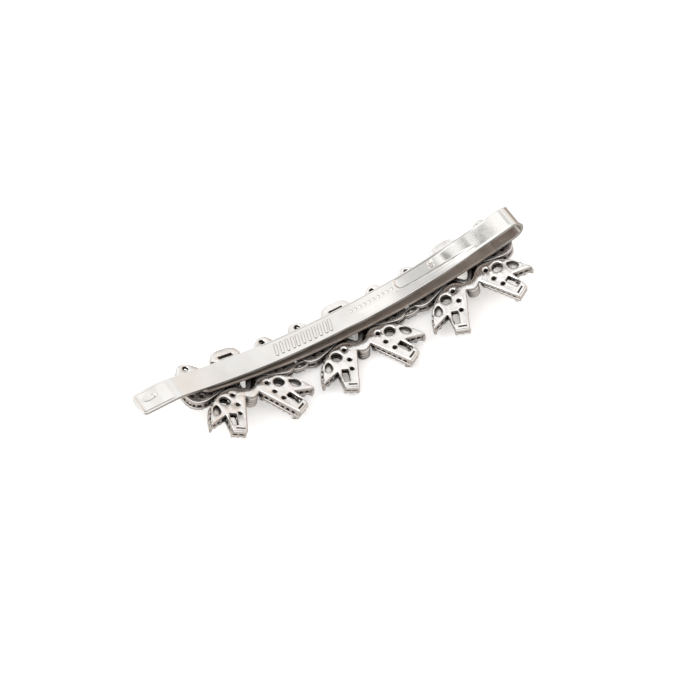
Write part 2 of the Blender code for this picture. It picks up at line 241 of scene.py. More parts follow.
def pressing(s, y):
    """Depth of the pressed relief at a station of the upper leaf and across it, all in millimetres."""
    hem = 0.12 * ease(y, 2.02, 2.2) * ease(s, -21, -18) * (1 - ease(s, 28, 36))
    tab_hem = 0.10 * ease(-y, 2.1, 2.3) * ease(s, -30, -20)
    # The flat that slopes down to the near edge, with a small step where it starts
    crease = -0.62 - 0.6 * max(0.0, s - 11) / 18
    run = ease(s, -3, 3) * (1 - ease(s, 25, 31))
    facet = 0.17 * max(0.0, crease - y) * run + 0.05 * run * ease(crease - y, 0.0, 0.12)
    # The flute, from its rounded start to where it fades out before the bend
    start = 11.6 + 0.55 * ((y - 0.75) / 1.3) ** 2
    flute = 0.3 * ease(s, start, start + 0.5) * (1 - ease(s, 21, 30))
    flute *= ease(y, crease - 0.05, crease + 0.5) * (1 - ease(y, 1.95, 2.15))
    # The short dent across the flute
    dent = 0.34 * max(0.0, 1 - ((s - 20.6 - 0.25 * (y - 0.9)) / 0.34) ** 2)
    dent *= 1 - ease(abs(y - 0.9), 0.5, 0.9)
    # Two fine lines that the tool leaves along the flat
    lines = max(0.0, 1 - ((y + 1.35) / 0.1) ** 2) + max(0.0, 1 - ((y + 1.85) / 0.1) ** 2)
    # The tab's small oval dimple, and the shallow dish of the whole tab
    dimple = 0.16 * (1 - ease(math.hypot((s + 46.0) / 1.7, (y - 0.5) / 0.8), 0.5, 1.0))
    dish = 0.24 * ease(2.4 - abs(y), 0, 0.5) * ease(s, -48.6, -47.9) * (1 - ease(s, -44.5, -40.5))
    return hem + tab_hem + facet + flute + dent + 0.05 * lines * run + dimple + dish


def lone(obj):
    """Select one object and make it the active one."""
    bpy.ops.object.select_all(action="DESELECT")
    obj.select_set(True)
    bpy.context.view_layer.objects.active = obj


def finish_modifier(obj, kind, **settings):
    """Add a modifier with its settings and apply it."""
    step = obj.modifiers.new(kind.title(), kind)
    for name, value in settings.items():
        setattr(step, name, value)
    lone(obj)
    bpy.ops.object.modifier_apply(modifier=step.name)


bpy.ops.object.select_all(action="DESELECT")
bpy.ops.mesh.primitive_grid_add(x_subdivisions=640, y_subdivisions=50, size=1)
blank = bpy.context.object
blank.scale = (total, TAB_WIDTH, 1)
bpy.ops.object.transform_apply(location=False, rotation=False, scale=True)
finish_modifier(blank, "SOLIDIFY", thickness=THICK, offset=0.0)
finish_modifier(blank, "BEVEL", width=0.15 * MM, segments=3, limit_method="ANGLE", angle_limit=1.0)
for vert in blank.data.vertices:
    t, y, lift = vert.co.x + total / 2, vert.co.y, vert.co.z
    y *= 1 + (LEAF_WIDTH / TAB_WIDTH - 1) * ease(t, *TAB_NECK)
    blunt = 1 - math.sqrt(max(1 - abs(2 * y / TAB_WIDTH) ** TAB_BLUNT, 0))
    t += TAB_ROUND * blunt * max(0.0, 1 - t / END_REACH)
    half = LEAF_WIDTH / 2
    t -= (half - math.sqrt(max(half ** 2 - y ** 2, 0))) * max(0.0, 1 - (total - t) / END_REACH)
    k, share = at_length(min(max(t, 0.0), total))
    if k < UPPER_STEPS:
        s = upper[k] + (upper[k + 1] - upper[k]) * share
        lift -= pressing(s / MM, y / MM) * MM
    vert.co = (t, y, lift)

steel = bpy.data.materials.new("polished_nickel_plated_spring_steel")
# Nickel over polished steel: a slightly warm mirror, blurred along the strip by the polishing
# wheel's fine lines and rubbed duller where fingers and hair pass. The lines are 0.05 mm apart
# in fact, and are drawn at 0.15 mm so that they show.
steel.use_nodes = True
tree = steel.node_tree
shader = tree.nodes["Principled BSDF"]
place = add(tree, "TexCoord").outputs["Object"]
drawn = add(tree, "Mapping", {"Vector": place, "Scale": (300, 6600, 3000)}).outputs[0]
lines = add(tree, "TexNoise", {"Vector": drawn, "Scale": 1.0, "Detail": 3.0}).outputs["Fac"]
smear = add(tree, "TexNoise", {"Vector": place, "Scale": 260.0, "Detail": 4.0}).outputs["Fac"]
tone = add(tree, "ValToRGB", {0: smear}, stops=[
    (0.3, hue("#e3e0dc")), (0.7, hue("#ebe9e6"))]).outputs["Color"]
# Painted shade: by ambient occlusion the colour turns brown and the metal less metallic in hollows, under
# the upper leaf and between the parts.
painted_shade_ao = add(tree, "AmbientOcclusion", {"Distance": 7.0 * MM}, samples=8).outputs["AO"]
bright = add(tree, "MapRange", {0: painted_shade_ao, 1: 0.3, 2: 0.85}).outputs[0]
tone = add(tree, "Mix", {0: bright, 6: hue("#857468"), 7: tone}, data_type="RGBA").outputs[2]
# The strip's side faces are duller, as sheared edges are, and their colour is darker grey: painted shade.
facing = add(tree, "SeparateXYZ", {0: add(tree, "TexCoord").outputs["Normal"]}).outputs["Y"]
facing = add(tree, "Math", {0: facing}, operation="ABSOLUTE").outputs[0]
sheared_and_shaded_sides = add(tree, "MapRange", {0: facing, 1: 0.45, 2: 0.85}).outputs[0]
tone = add(tree, "Mix", {0: sheared_and_shaded_sides, 6: tone, 7: hue("#8e8a85")}, data_type="RGBA").outputs[2]
dull = add(tree, "MapRange", {0: smear, 1: 0.3, 2: 0.7, 3: 0.06, 4: 0.13}).outputs[0]
dull = add(tree, "Mix", {0: sheared_and_shaded_sides, 2: dull, 3: 0.34}, data_type="FLOAT").outputs[0]
bump = add(tree, "Bump", {"Strength": 0.03, "Distance": 0.05 * MM, "Height": lines}).outputs[0]
tree.links.new(tone, shader.inputs["Base Color"])
tree.links.new(dull, shader.inputs["Roughness"])
tree.links.new(bump, shader.inputs["Normal"])
tree.links.new(add(tree, "MapRange", {0: bright, 3: 0.35, 4: 1.0}).outputs[0], shader.inputs["Metallic"])

shaded_leaf_steel = bpy.data.materials.new("inner_leaf_steel_painted_shade")
# The same steel where the bows were soldered on. As the leaf lies inside the clip it was never polished,
# so it is dull with soft cloudy stains; its grey is painted shade, darker and warmer than the polished
# leaf's.
shaded_leaf_steel.use_nodes = True
tree = shaded_leaf_steel.node_tree
shader = tree.nodes["Principled BSDF"]
place = add(tree, "TexCoord").outputs["Object"]
stain = add(tree, "TexNoise", {"Vector": place, "Scale": 500.0, "Detail": 4.0}).outputs["Fac"]
# Painted shade: a darker, warmer grey than the polished leaf's, for the leaf's place under the upper leaf.
tone = add(tree, "ValToRGB", {0: stain}, stops=[
    (0.3, hue("#a3978d")), (0.7, hue("#bcb2a9"))]).outputs["Color"]
dull = add(tree, "MapRange", {0: stain, 1: 0.3, 2: 0.7, 3: 0.5, 4: 0.36}).outputs[0]
# Painted shade: deep brown near the bows and under the upper leaf, by ambient occlusion.
painted_shade_ao = add(tree, "AmbientOcclusion", {"Distance": 4.0 * MM}, samples=8).outputs["AO"]
painted_shade_ao = add(tree, "MapRange", {0: painted_shade_ao, 1: 0.1, 2: 0.5}).outputs[0]
tone = add(tree, "Mix", {0: painted_shade_ao, 6: hue("#453a33"), 7: tone}, data_type="RGBA").outputs[2]
tree.links.new(tone, shader.inputs["Base Color"])
tree.links.new(dull, shader.inputs["Roughness"])
shader.inputs["Metallic"].default_value = 0.6

seam_back = length_of(SEAM_S)
seam_front = total - (SEAM_S - FRONT_END_S) * (1 - (BEND_LOW + THICK / 2) / ARCH_RADIUS)


def copy_of(obj):
    """A copy with a mesh of its own."""
    again = obj.copy()
    again.data = obj.data.copy()
    bpy.context.scene.collection.objects.link(again)
    return again


def strip_piece(name, start, end, material=steel):
    """The blank between two lengths, cut square, closed, and bent to its place."""
    piece = copy_of(blank)
    piece.name = piece.data.name = name
    lone(piece)
    bpy.ops.object.mode_set(mode="EDIT")
    for cut, outward in ((start, -1), (end, 1)):
        if 0 < cut < total:
            bpy.ops.mesh.select_all(action="SELECT")
            bpy.ops.mesh.bisect(plane_co=(cut, 0, 0), plane_no=(outward, 0, 0),
                                use_fill=True, clear_outer=True)
    bpy.ops.object.mode_set(mode="OBJECT")
    for vert in piece.data.vertices:
        vert.co = wrapped(*vert.co)
    bpy.ops.object.shade_smooth_by_angle(angle=math.radians(40))
    piece.data.materials.append(material)
    return piece


strip_back = strip_piece("strip_back", 0.0, seam_back)
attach(strip_back, "spring_arm")
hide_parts("back_leaf")
strip_front = strip_piece("strip_front", seam_front, total, shaded_leaf_steel)
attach(strip_front, "clip_front")
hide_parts("front_leaf")
strip_bend = strip_piece("strip_bend", seam_back, seam_front)
hinge = on_arch(BEND_S + BEND_RADIUS, BEND_HEIGHT)
hinge = Vector((hinge.x, LEAF_Y, hinge.y))
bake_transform(strip_bend)
bpy.data.objects.remove(blank)


# ---------------------------------------------------------------- grip ribs and pips
# The press also raises a block of slanted ribs on the upper leaf, for the thumb, and a row of
# small pips beyond it. They are part of the same steel, so they carry its plating.
def on_leaf(obj, s, y, turn=0.0):
    """Bend a small flat piece onto the upper leaf's face at a station, in millimetres."""
    here = length_of(s * MM)
    obj.data.transform(Matrix.Translation((here, y * MM, 0)) @ Matrix.Rotation(turn, 4, "Z"))
    for vert in obj.data.vertices:
        vert.co = wrapped(vert.co.x, vert.co.y, vert.co.z + THICK / 2 - 0.02 * MM)


def joined(name, parts):
    """Several meshes as one piece at the origin."""
    bpy.ops.object.select_all(action="DESELECT")
    for part in parts:
        part.select_set(True)
    bpy.context.view_layer.objects.active = parts[0]
    bpy.ops.object.join()
    parts[0].name = parts[0].data.name = name
    return parts[0]


def smoothed(parts, name):
    """Several meshes as one piece, shaded smooth but for its corners."""
    made = joined(name, parts)
    lone(made)
    bpy.ops.object.shade_smooth_by_angle(angle=math.radians(50))
    return made


RIB_FIRST, RIB_PITCH, RIB_Y, RIB_SLANT = -17.4, 1.28, -0.15, math.radians(-18)
bpy.ops.object.select_all(action="DESELECT")
bpy.ops.mesh.primitive_cube_add(size=1)
rib = bpy.context.object
rib.scale = (0.6 * MM, 2.9 * MM, 0.44 * MM)
bpy.ops.object.transform_apply(location=False, rotation=False, scale=True)
bpy.ops.object.mode_set(mode="EDIT")
bpy.ops.mesh.select_all(action="SELECT")
bpy.ops.mesh.subdivide(number_cuts=3)
bpy.ops.object.mode_set(mode="OBJECT")
finish_modifier(rib, "BEVEL", width=0.11 * MM, segments=2, limit_method="ANGLE", angle_limit=1.0)
ribs = []
for k in range(11):
    one = copy_of(rib)
    on_leaf(one, RIB_FIRST + RIB_PITCH * k, RIB_Y, RIB_SLANT)
    ribs.append(one)
bpy.data.objects.remove(rib)
ribs = smoothed(ribs, "grip_ribs")
ribs.data.materials.append(steel)
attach(ribs, "spring_arm")

PIP_FIRST, PIP_PITCH, PIP_Y = 0.9, 1.1, 0.45
bpy.ops.object.select_all(action="DESELECT")
bpy.ops.mesh.primitive_uv_sphere_add(segments=12, ring_count=6, radius=1)
pip = bpy.context.object
pip.scale = (0.3 * MM, 0.36 * MM, 0.14 * MM)
bpy.ops.object.transform_apply(location=False, rotation=False, scale=True)
pips = []
for k in range(10):
    one = copy_of(pip)
    on_leaf(one, PIP_FIRST + PIP_PITCH * k, PIP_Y)
    pips.append(one)
bpy.data.objects.remove(pip)
pips = joined("leaf_pips", pips)
lone(pips)
bpy.ops.object.shade_smooth()
pips.data.materials.append(steel)
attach(pips, "spring_arm")


# ---------------------------------------------------------------- bow castings
# Each bow is cast in brass as two forked tails, two open loops and a centre with its knot,
# then tumbled and rhodium plated. Behind the stones it is a back plate and a front rail joined
# by posts, pierced behind each stone to let light in and to save metal.
CENTRE_Y = 5.0 * MM
BOW_PITCH = 25.9 * MM

# From here a bow's sizes are in millimetres
CORNER = 0.14                               # from a cast corner to where its rounding starts
RAIL_TOP, RAIL_BOTTOM = -1.7, -2.35         # heights off a part's back face
POST_AT, CLAW_AT = -1.3, -2.45              # their middles, off the same face
POST_INSET, CLAW_INSET, POST_PITCH = 0.42, 0.35, 1.25

# Outlines seen from the back, from the bow's middle; "c" is a corner, "s" smooth
BACK_HALF = (
    (1.6, -0.35, "c"), (6.0, -8.6, "c"), (8.6, -7.3, "c"), (7.9, -3.3, "c"), (11.9, -4.5, "c"),
    (10.5, -1.9, "s"), (8.9, 0.25, "s"), (6.9, 1.72, "s"), (5.0, 2.4, "s"), (3.4, 2.62, "s"),
    (2.2, 2.1, "s"), (1.15, 1.15, "s"))
RAIL_OUTLINE = (
    (1.9, -0.5, "c"), (6.0, -8.5, "c"), (8.6, -7.2, "c"), (7.9, -3.3, "c"), (12.2, -4.4, "c"),
    (11.0, -1.7, "s"), (9.3, 0.6, "s"), (7.2, 2.05, "s"), (5.1, 2.65, "s"), (3.4, 2.7, "s"),
    (2.3, 1.9, "s"))
LOOP_OUTLINE = (
    (3.5, 4.0, "c"), (5.3, 2.85, "s"), (7.6, 2.1, "s"), (9.8, 1.75, "s"), (11.6, 2.5, "s"),
    (12.5, 4.6, "s"), (12.4, 7.4, "s"), (11.4, 10.2, "s"), (10.3, 12.0, "c"), (8.7, 12.1, "s"),
    (7.0, 10.8, "s"), (5.2, 8.6, "s"), (3.5, 7.0, "c"))
LOOP_OPENING = ((5.2, 5.7, "s"), (8.2, 5.0, "s"), (10.4, 5.9, "s"), (10.0, 8.6, "s"), (8.3, 8.9, "s"))
CENTRE_HALF = (
    (2.6, 4.4, "c"), (3.15, 5.6, "s"), (2.7, 7.3, "s"), (1.7, 8.8, "c"), (3.4, 10.3, "c"), (2.5, 11.8, "s"))


def flipped(knots):
    """The same knots on the bow's other side."""
    return [(-x, y, kind) for x, y, kind in knots]


def both_sides(half, *middle):
    """A whole outline from its half at +X and the knots on the bow's own middle line."""
    return [*half, *middle, *flipped(half[::-1])]


TAIL_ROUND, TAIL_PEAR, TAIL_SLOT = (6.24, 0.0), (9.0, -1.5), (6.95, -4.8)
TAIL_SMALL = ((4.0, 0.8), (4.26, -1.76), (5.05, -3.95))
LOOP_SMALL = ((5.6, 3.75), (7.5, 3.35), (9.5, 3.3), (11.2, 4.1))
PETAL_HOLE, END_GROOVE, END_LIP = (8.9, 10.9), (6.9, -7.35), (7.3, -7.95)
PEAR_TURN, SLOT_TURN, END_TURN = math.radians(213), math.radians(24), math.radians(26.6)
CENTRE_STONE, TOP_SLOT, KNOT = (0, 5.0), (0, 10.4), (0, -0.2)
KNOT_WIDTH, KNOT_HEIGHT, KNOT_STEP = 2.7, 2.3, 0.1
KNOT_SLABS = ((-0.7, -1.7), (-1.8, -2.4), (-2.5, -3.3))
TAIL_RISE = 0.06                            # of a tail, for each millimetre outwards


def arch_frame(s):
    """Place and tilt of a bow or link that sits flat on the arch at length s."""
    turn = s / ARCH_RADIUS
    foot = (ARCH_RADIUS * math.sin(turn), -CENTRE_Y, REST_DEPTH + ARCH_RADIUS * (1 - math.cos(turn)))
    return Matrix.Translation(foot) @ Matrix.Rotation(-turn, 4, "Y")


def drawn_in(t, narrow):
    """Width of a pear shape at a turn from its -Y end, as a share of an oval's."""
    return 1 + narrow * (0.13 - 0.62 * (0.5 + 0.5 * math.cos(t)) ** 2)


def knot_at(centre, x, y, turn, kind):
    """A knot at an offset from a centre, turned about it."""
    return (centre[0] + x * math.cos(turn) - y * math.sin(turn),
            centre[1] + x * math.sin(turn) + y * math.cos(turn), kind)


def ring(centre, width, height, turn=0.0, sides=8, narrow=0.0):
    """Knots of a round, oval or pear opening, in millimetres; narrow draws in its -Y end."""
    knots = []
    for k in range(sides):
        t = 2 * math.pi * k / sides
        x = width / 2 * math.sin(t) * drawn_in(t, narrow)
        knots.append(knot_at(centre, x, -height / 2 * math.cos(t), turn, "s"))
    return knots


def bar(centre, width, height, turn=0.0):
    """Knots of a rectangular opening."""
    return [knot_at(centre, x * width / 2, y * height / 2, turn, "c")
            for x, y in ((-1, -1), (1, -1), (1, 1), (-1, 1))]


def runs_left(points):
    """Whether an outline turns to the left, so that its inside lies there."""
    return sum(a[0] * b[1] - b[0] * a[1] for a, b in zip(points, [*points[1:], points[0]])) > 0


def edge_points(knots, steps):
    """Points along an outline of smooth and slightly rounded corner knots."""
    points = []
    for k, (x, y, kind) in enumerate(knots):
        before = knots[k - 1]
        after = knots[(k + 1) % len(knots)]
        beyond = knots[(k + 2) % len(knots)]
        a, b = Vector((x, y)), Vector(after[:2])
        reach = (b - a).length * 0.36
        lead = a + ((b - a) if kind == "c" else (b - Vector(before[:2]))).normalized() * reach
        trail = b - ((b - a) if after[2] == "c" else (Vector(beyond[:2]) - a)).normalized() * reach
        run = [a, b] if kind == after[2] == "c" else interpolate_bezier(a, lead, trail, b, steps + 1)
        if kind == "c":
            points += [a + (run[1] - a).normalized() * CORNER, *run[1:-1]]
        else:
            points += run[:-1]
        if after[2] == "c":
            into, out = (b - run[-2]).normalized(), Vector(beyond[:2]) - b
            points += [b - into * CORNER, b + (out.normalized() - into) * CORNER / 4]
    return points


def moved_in(points, depth):
    """An outline moved into its metal, which lies to the left of its points' order."""
    result = []
    for k, point in enumerate(points):
        a = (point - points[k - 1]).normalized()
        b = (points[(k + 1) % len(points)] - point).normalized()
        a, b = Vector((-a.y, a.x)), Vector((-b.y, b.x))
        middle = (a + b).normalized()
        result.append(point + middle * depth / max(middle.dot(a), 0.55))
    return result


def plate(outline, openings, top, bottom, edge=0.2, steps=5):
    """A flat cast plate with rolled edges and openings between two heights, in millimetres."""
    levels = []
    for t in (math.pi / 2, 0.9, 0.4, 0):
        levels.append((edge * (1 - math.cos(t)), top - edge * (1 - math.sin(t))))
    levels += [(inset, top + bottom - height) for inset, height in levels[::-1]]
    verts, faces = [], []
    for k, knots in enumerate((outline, *openings)):
        points = edge_points(knots, 3 if k else steps)
        if runs_left(points) == bool(k):
            points = points[::-1]
        count, first = len(points), len(verts)
        for inset, height in levels:
            verts += [(p.x * MM, p.y * MM, height * MM) for p in moved_in(points, inset)]
        for level in range(len(levels) - 1):
            row = first + level * count
            for here in range(count):
                beside = (here + 1) % count
                faces.append((row + here, row + beside, row + count + beside, row + count + here))
    mesh = bpy.data.meshes.new("plate")
    mesh.from_pydata(verts, [], faces)
    obj = bpy.data.objects.new("plate", mesh)
    bpy.context.scene.collection.objects.link(obj)
    lone(obj)
    for height in (top, bottom):
        bpy.ops.object.mode_set(mode="EDIT")
        bpy.ops.mesh.select_mode(type="EDGE")
        bpy.ops.mesh.select_all(action="DESELECT")
        bpy.ops.object.mode_set(mode="OBJECT")
        rim = [abs(vert.co.z - height * MM) < 1e-7 for vert in mesh.vertices]
        for line_edge in mesh.edges:
            line_edge.select = all(rim[v] for v in line_edge.vertices)
        bpy.ops.object.mode_set(mode="EDIT")
        bpy.ops.mesh.fill(use_beauty=True)
        bpy.ops.object.mode_set(mode="OBJECT")
    bpy.ops.object.mode_set(mode="EDIT")
    bpy.ops.mesh.select_mode(type="VERT")
    bpy.ops.mesh.select_all(action="SELECT")
    bpy.ops.mesh.normals_make_consistent(inside=False)
    bpy.ops.object.mode_set(mode="OBJECT")
    return obj


def along(knots, pitch, inset):
    """Evenly spaced spots inside an outline, with the way the edge runs at each."""
    flip = 1 if runs_left(knots) else -1
    spots = []
    carry = pitch / 2
    for a, b in zip(knots, [*knots[1:], knots[0]]):
        span = math.dist(a[:2], b[:2])
        dx, dy = (b[0] - a[0]) / span, (b[1] - a[1]) / span
        while carry < span:
            x = a[0] + dx * carry - dy * flip * inset
            y = a[1] + dy * carry + dx * flip * inset
            spots.append((x, y, math.atan2(dy, dx)))
            carry += pitch
        carry -= span
    return spots


bpy.ops.object.select_all(action="DESELECT")
bpy.ops.mesh.primitive_cylinder_add(vertices=6, radius=0.36 * MM, depth=1.1 * MM)
post = bpy.context.object
bpy.ops.object.select_all(action="DESELECT")
bpy.ops.mesh.primitive_uv_sphere_add(segments=8, ring_count=5, radius=0.33 * MM)
claw = bpy.context.object


def studded(source, spots, height):
    """Copies of a post or claw at the same height."""
    parts = []
    for x, y, turn in spots:
        one = copy_of(source)
        place = Matrix.Translation((x * MM, y * MM, height * MM))
        one.data.transform(place @ Matrix.Rotation(turn, 4, "Z"))
        parts.append(one)
    return parts


def gallery(outline, seats, top):
    """Front rail of a part, its posts up to the back plate, and its claws."""
    return [plate(outline, seats, top + RAIL_TOP, top + RAIL_BOTTOM, edge=0.12, steps=4),
            *studded(post, along(outline, POST_PITCH, POST_INSET), top + POST_AT),
            *studded(claw, along(outline, POST_PITCH, CLAW_INSET), top + CLAW_AT)]


rhodium = bpy.data.materials.new("rhodium_plated_cast_brass")
# Rhodium over tumbled cast brass: a bright white metal with soft grain on the flat backs. The sides
# keep their as-cast skin, duller, and their greyer colour is painted shade; the recesses are painted
# dark brown and less metallic, painted shade by ambient occlusion. The grain is near 0.05 mm and is drawn
# at 0.3 mm.
rhodium.use_nodes = True
tree = rhodium.node_tree
shader = tree.nodes["Principled BSDF"]
place = add(tree, "TexCoord").outputs["Object"]
grain = add(tree, "TexNoise", {"Vector": place, "Scale": 3300.0, "Detail": 3.0}).outputs["Fac"]
swell = add(tree, "TexNoise", {"Vector": place, "Scale": 420.0, "Detail": 2.0}).outputs["Fac"]
tone = add(tree, "ValToRGB", {0: swell}, stops=[
    (0.3, hue("#e6e2de")), (0.7, hue("#f6f4f2"))]).outputs["Color"]
# Painted shade: by ambient occlusion the colour turns dark brown and the metal less metallic in the
# recesses and between the parts.
painted_shade_ao = add(tree, "AmbientOcclusion", {"Distance": 3.2 * MM}, samples=8).outputs["AO"]
bright = add(tree, "MapRange", {0: painted_shade_ao, 1: 0.28, 2: 0.8}).outputs[0]
# Painted shade: walls that face sideways are coloured greyer than the flat backs; their higher roughness is
# the as-cast skin.
facing = add(tree, "SeparateXYZ", {0: add(tree, "TexCoord").outputs["Normal"]}).outputs["Z"]
facing = add(tree, "Math", {0: facing}, operation="ABSOLUTE").outputs[0]
flat = add(tree, "MapRange", {0: facing, 1: 0.25, 2: 0.8}, interpolation_type="SMOOTHSTEP").outputs[0]
tone = add(tree, "Mix", {0: flat, 6: hue("#a69f99"), 7: tone}, data_type="RGBA").outputs[2]
tone = add(tree, "Mix", {0: bright, 6: hue("#30261f"), 7: tone}, data_type="RGBA").outputs[2]
dull = add(tree, "MapRange", {0: grain, 1: 0.35, 2: 0.7, 3: 0.16, 4: 0.3}).outputs[0]
dull = add(tree, "Mix", {0: flat, 2: 0.42, 3: dull}, data_type="FLOAT").outputs[0]
bump = add(tree, "Bump", {"Strength": 0.25, "Distance": 0.25 * MM, "Height": swell}).outputs[0]
bump = add(tree, "Bump", {"Strength": 0.12, "Distance": 0.05 * MM, "Height": grain,
                          "Normal": bump}).outputs[0]
tree.links.new(tone, shader.inputs["Base Color"])
tree.links.new(dull, shader.inputs["Roughness"])
tree.links.new(bump, shader.inputs["Normal"])
tree.links.new(add(tree, "MapRange", {0: bright, 3: 0.4, 4: 1.0}).outputs[0], shader.inputs["Metallic"])


def mirrored(obj):
    """The same part for the bow's other side, with its faces turned out again."""
    other = copy_of(obj)
    other.data.transform(Matrix.Diagonal((-1, 1, 1, 1)))
    lone(other)
    bpy.ops.object.mode_set(mode="EDIT")
    bpy.ops.mesh.select_all(action="SELECT")
    bpy.ops.mesh.remove_doubles(threshold=0.001 * MM)
    bpy.ops.mesh.normals_make_consistent(inside=False)
    bpy.ops.object.mode_set(mode="OBJECT")
    return other


def tail_pear(width, height):
    """The pear shape of a tail's long setting."""
    return ring(TAIL_PEAR, width, height, PEAR_TURN, narrow=1.0)


def small_holes(spots, size):
    """Round openings behind the small stones."""
    return [ring(spot, size, size, sides=6) for spot in spots]


def centre_pear(width, height):
    """The pear shape of the centre setting."""
    return ring(CENTRE_STONE, width, height, sides=10, narrow=1.0)


tail_openings = [ring(TAIL_ROUND, 2.2, 2.2), *small_holes(TAIL_SMALL, 0.92), tail_pear(1.7, 2.6),
                 bar(TAIL_SLOT, 1.35, 3.0, SLOT_TURN), bar(END_GROOVE, 1.9, 0.22, END_TURN)]
back_outline = both_sides(BACK_HALF, (0.0, 0.85, "s"))
back_outline += [(-1.0, -0.8, "s"), (0.0, -1.15, "s"), (1.0, -0.8, "s")]
back = plate(back_outline, [*tail_openings, *map(flipped, tail_openings)], 0.0, -0.9, 0.26)
backings = [plate(tail_pear(2.1, 3.0), [], -0.76, -0.88, 0.05),
            plate(bar(END_LIP, 2.7, 0.5, END_TURN), [], -0.2, -0.95, 0.15)]
backings += [mirrored(backing) for backing in backings]
back = smoothed([back, *backings], "back")

tail_seats = [ring(TAIL_ROUND, 2.6, 2.6), *small_holes(TAIL_SMALL, 1.5), tail_pear(1.8, 2.8),
              bar(TAIL_SLOT, 1.3, 3.6, SLOT_TURN)]
tail = smoothed(gallery(RAIL_OUTLINE, tail_seats, 0.0), "tail")

loop_openings = [LOOP_OPENING, *small_holes(LOOP_SMALL, 1.0), ring(PETAL_HOLE, 1.1, 1.1)]
loop_seats = [LOOP_OPENING, *small_holes(LOOP_SMALL, 1.4), ring(PETAL_HOLE, 1.7, 1.7)]
loop_back = plate(LOOP_OUTLINE, loop_openings, -0.3, -1.2)
loop = smoothed([loop_back, *gallery(LOOP_OUTLINE, loop_seats, -0.3)], "loop")

web = plate(ring((0, 4.6), 7.0, 8.0, sides=10), [centre_pear(3.3, 5.2)], -2.0, -2.6, 0.1)
crown_outline = both_sides(CENTRE_HALF, (0.0, 12.3, "s"))
crown = plate(crown_outline, [ring((0, 6.5), 2.6, 3.0), bar(TOP_SLOT, 3.2, 0.6)], 0.0, -1.7)
bezel = plate(centre_pear(5.4, 7.8), [centre_pear(3.5, 5.4)], -1.1, -2.9, 0.2)
centre_parts = [web, crown, bezel, *studded(claw, along(centre_pear(5.2, 7.4), 1.3, 0.25), -2.95)]
for k, (top, bottom) in enumerate(KNOT_SLABS):
    width = KNOT_WIDTH + KNOT_STEP * (k % 2)
    centre_parts.append(plate(ring(KNOT, width, KNOT_HEIGHT), [], top, bottom, 0.14))
centre = smoothed(centre_parts, "centre")


def swept(obj):
    """Raise a tail's outer end off the table, as the two tails of a bow do."""
    for vert in obj.data.vertices:
        vert.co.z += TAIL_RISE * max(0.0, abs(vert.co.x) - 1.5 * MM)
    return obj


def set_in_bow(source, name, material, slot_name, node=None):
    """Copies of a part on each of the three bows, riding on the clip's front."""
    for k in range(3):
        one = copy_of(source)
        one.name = one.data.name = "bow_%d_%s" % (k + 1, name)
        if node:                # its name is numbered by now, after the node that it replaces
            one.name = one.data.name = one.name + ("_cast" if slot_name == "casting" else "_cut")
        one.data.transform(arch_frame((k - 1) * BOW_PITCH))
        one.data.materials.clear()
        one.data.materials.append(material)
        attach(one, "clip_front")
        if node:
            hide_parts("bow_%d_%s" % (k + 1, node))
    bpy.data.objects.remove(source)


for source, word in ((swept(tail), "tail"), (loop, "loop")):
    set_in_bow(mirrored(source), word + "_left", rhodium, "casting", word + "_left")
    set_in_bow(source, word + "_right", rhodium, "casting", word + "_right")
set_in_bow(centre, "centre", rhodium, "casting", "centre")
set_in_bow(swept(back), "back_plate", rhodium, "casting")


# ---------------------------------------------------------------- set stones
# Clear machine-cut crystal glass: round brilliants, small pears, step-cut baguettes and one
# large pear in the middle of each bow, all held by the claws with their points to the back.
crystal = bpy.data.materials.new("machine_cut_crystal_glass")
# Lead-free crystal: clear, polished and a little denser than window glass. The ground facets
# keep a faint haze that softens what shows through them.
crystal.use_nodes = True
tree = crystal.node_tree
shader = tree.nodes["Principled BSDF"]
place = add(tree, "TexCoord").outputs["Object"]
haze = add(tree, "TexNoise", {"Vector": place, "Scale": 900.0, "Detail": 2.0}).outputs["Fac"]
tone = add(tree, "ValToRGB", {0: haze}, stops=[
    (0.3, hue("#e9e6e2")), (0.7, hue("#f8f7f5"))]).outputs["Color"]
dull = add(tree, "MapRange", {0: haze, 3: 0.0, 4: 0.05}).outputs[0]
tree.links.new(tone, shader.inputs["Base Color"])
tree.links.new(dull, shader.inputs["Roughness"])
shader.inputs["Transmission Weight"].default_value = 1.0
shader.inputs["IOR"].default_value = 1.58


def gem(rings):
    """A cut stone drawn tight over rings of points: sides, radius, turn and height, unit sized."""
    bpy.ops.object.select_all(action="DESELECT")
    for k, (sides, radius, turn, height) in enumerate(rings):
        bpy.ops.mesh.primitive_circle_add(vertices=sides, radius=radius, location=(0, 0, height),
                                          rotation=(0, 0, turn))
        if k == 0:
            bpy.ops.object.mode_set(mode="EDIT")
    bpy.ops.mesh.select_all(action="SELECT")
    bpy.ops.mesh.convex_hull()
    bpy.ops.object.mode_set(mode="OBJECT")
    bpy.ops.object.transform_apply(location=True, rotation=True, scale=True)
    return bpy.context.object


TURN_8 = math.pi / 8
brilliant = gem([(16, 1.0, 0, 0), (16, 1.0, 0, -0.05), (8, 0.76, TURN_8, -0.24), (8, 0.57, 0, -0.34),
                 (8, 0.42, TURN_8, 0.52), (3, 0.03, 0, 0.86)])
small_cut = gem([(10, 1.0, 0, 0), (10, 1.0, 0, -0.06), (5, 0.6, 0, -0.34), (3, 0.05, 0, 0.8)])


def cut_to(source, centre_xy, width, length, table, turn=0.0, narrow=0.0):
    """A stone of a real size with its table at a height, in millimetres."""
    one = copy_of(source)
    deep = min(width, length) / 2
    for vert in one.data.vertices:
        x, y, z = vert.co
        taper = drawn_in(math.atan2(x, -y), narrow)
        vert.co = (x * taper * width / 2 * MM, y * length / 2 * MM, z * deep * MM)
    low = min(vert.co.z for vert in one.data.vertices)
    one.data.transform(Matrix.Translation((centre_xy[0] * MM, centre_xy[1] * MM, table * MM - low))
                       @ Matrix.Rotation(turn, 4, "Z"))
    return one


